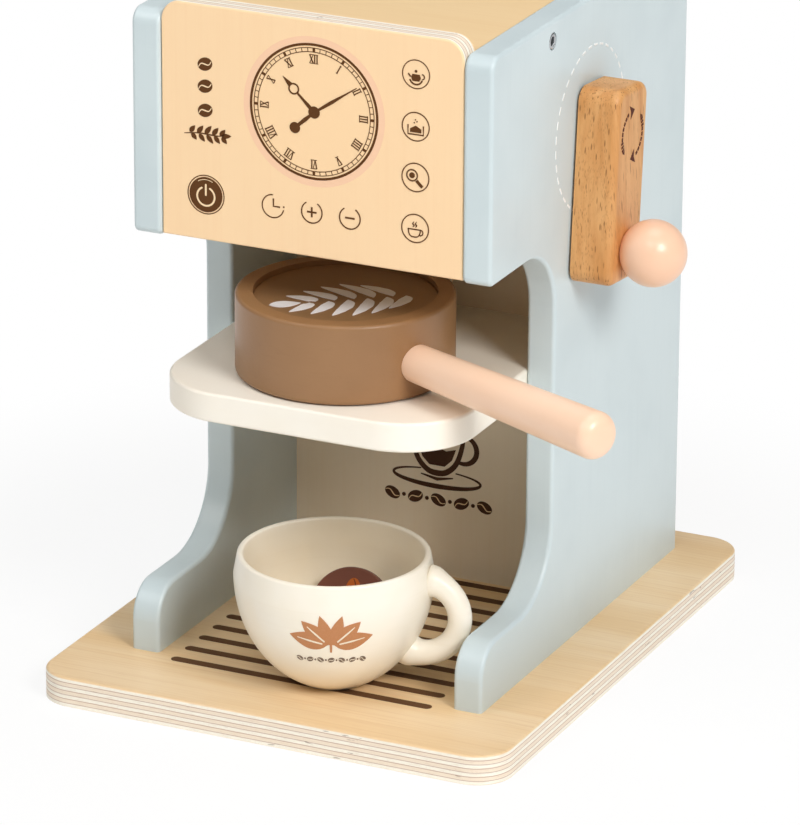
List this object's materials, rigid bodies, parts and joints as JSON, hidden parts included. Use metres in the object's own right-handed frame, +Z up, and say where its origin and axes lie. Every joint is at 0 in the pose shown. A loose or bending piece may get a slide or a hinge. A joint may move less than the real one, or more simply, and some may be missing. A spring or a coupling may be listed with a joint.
{
  "type": "toy coffee maker",
  "caption": "Wooden toy coffee machine with a side crank, a coin slot and drum, a swivelling portafilter on a shelf, a handled cup and a coffee coin.",
  "frame": {"origin": "centre of the underside of the base board", "axes": "+X to the machine's right, where the crank is, +Y to its back, +Z up"},
  "size_m": [0.2379, 0.25, 0.28],
  "materials": {
    "birch_plywood": "clear satin lacquer on birch plywood, with the plies showing at the edge",
    "blue_grey_paint": "satin pale blue-grey paint",
    "pale_panel": "clear matt lacquer on pale birch-faced board, printed in dark brown",
    "cream_paint": "satin cream paint",
    "nylon": "moulded natural nylon",
    "steel": "bright zinc-plated steel",
    "dowel_wood": "plain birch dowel",
    "drum_wood": "plain turned beech",
    "felt": "grey wool felt",
    "beech": "clear lacquered beech with dark flecks and two printed arrows",
    "peach_wood": "satin peach paint",
    "coffee_paint": "satin milk-coffee brown paint with a pale printed leaf",
    "brass": "turned brass",
    "ivory_paint": "satin ivory paint with a tan printed sprig",
    "coin_print": "dark red-brown printed wood with orange-brown beans"
  },
  "bodies": {
    "frame": {"base_board": "birch_plywood", "left_side_panel": "blue_grey_paint", "right_side_panel": "blue_grey_paint", "front_panel": "pale_panel", "top_panel": "pale_panel", "rear_panel": "pale_panel", "back_panel": "pale_panel", "shelf": "cream_paint", "housing_floor": "pale_panel", "chute_front_board": "pale_panel", "chute_back_board": "pale_panel", "chute_side_strips": "pale_panel", "slot_guides": "pale_panel", "left_axle_bush": "nylon", "right_axle_bush": "nylon", "side_cap_screws": "steel", "barrel_nuts": "steel", "base_screws": "steel", "shelf_dowels": "dowel_wood", "front_panel_dowels": "dowel_wood"},
    "crank": {"slotted_drum": "drum_wood", "crank_axle": "dowel_wood", "left_axle_stub": "dowel_wood", "axle_collars": "dowel_wood", "felt_washer": "felt", "crank_lever": "beech", "knob_ball": "peach_wood", "knob_screw": "steel"},
    "portafilter": {"portafilter_body": "coffee_paint", "latte_disc": "coffee_paint", "portafilter_handle": "peach_wood", "pivot_insert": "brass", "pivot_screw": "steel", "pivot_washer": "steel"},
    "cup": {"cup_bowl": "ivory_paint", "cup_handle": "ivory_paint"},
    "coin": {"coin": "coin_print"}
  },
  "joints": [
    {"name": "crank_turn", "type": "hinge", "parent": "frame", "child": "crank", "pos_m": [0.085, 0.01, 0.2219], "axis": [1, 0, 0], "continuous": true},
    {"name": "portafilter_turn", "type": "hinge", "parent": "frame", "child": "portafilter", "pos_m": [0, -0.05, 0.1305], "axis": [0, 0, 1], "range_deg": [-168, 38]},
    {"name": "cup_slide", "type": "slide", "parent": "frame", "child": "cup", "axis": [0, 1, 0], "range_m": [-0.008, 0.074]},
    {"name": "coin_lift", "type": "slide", "parent": "cup", "child": "coin", "axis": [0, 0, 1], "range_m": [0, 0.045]}
  ]
}
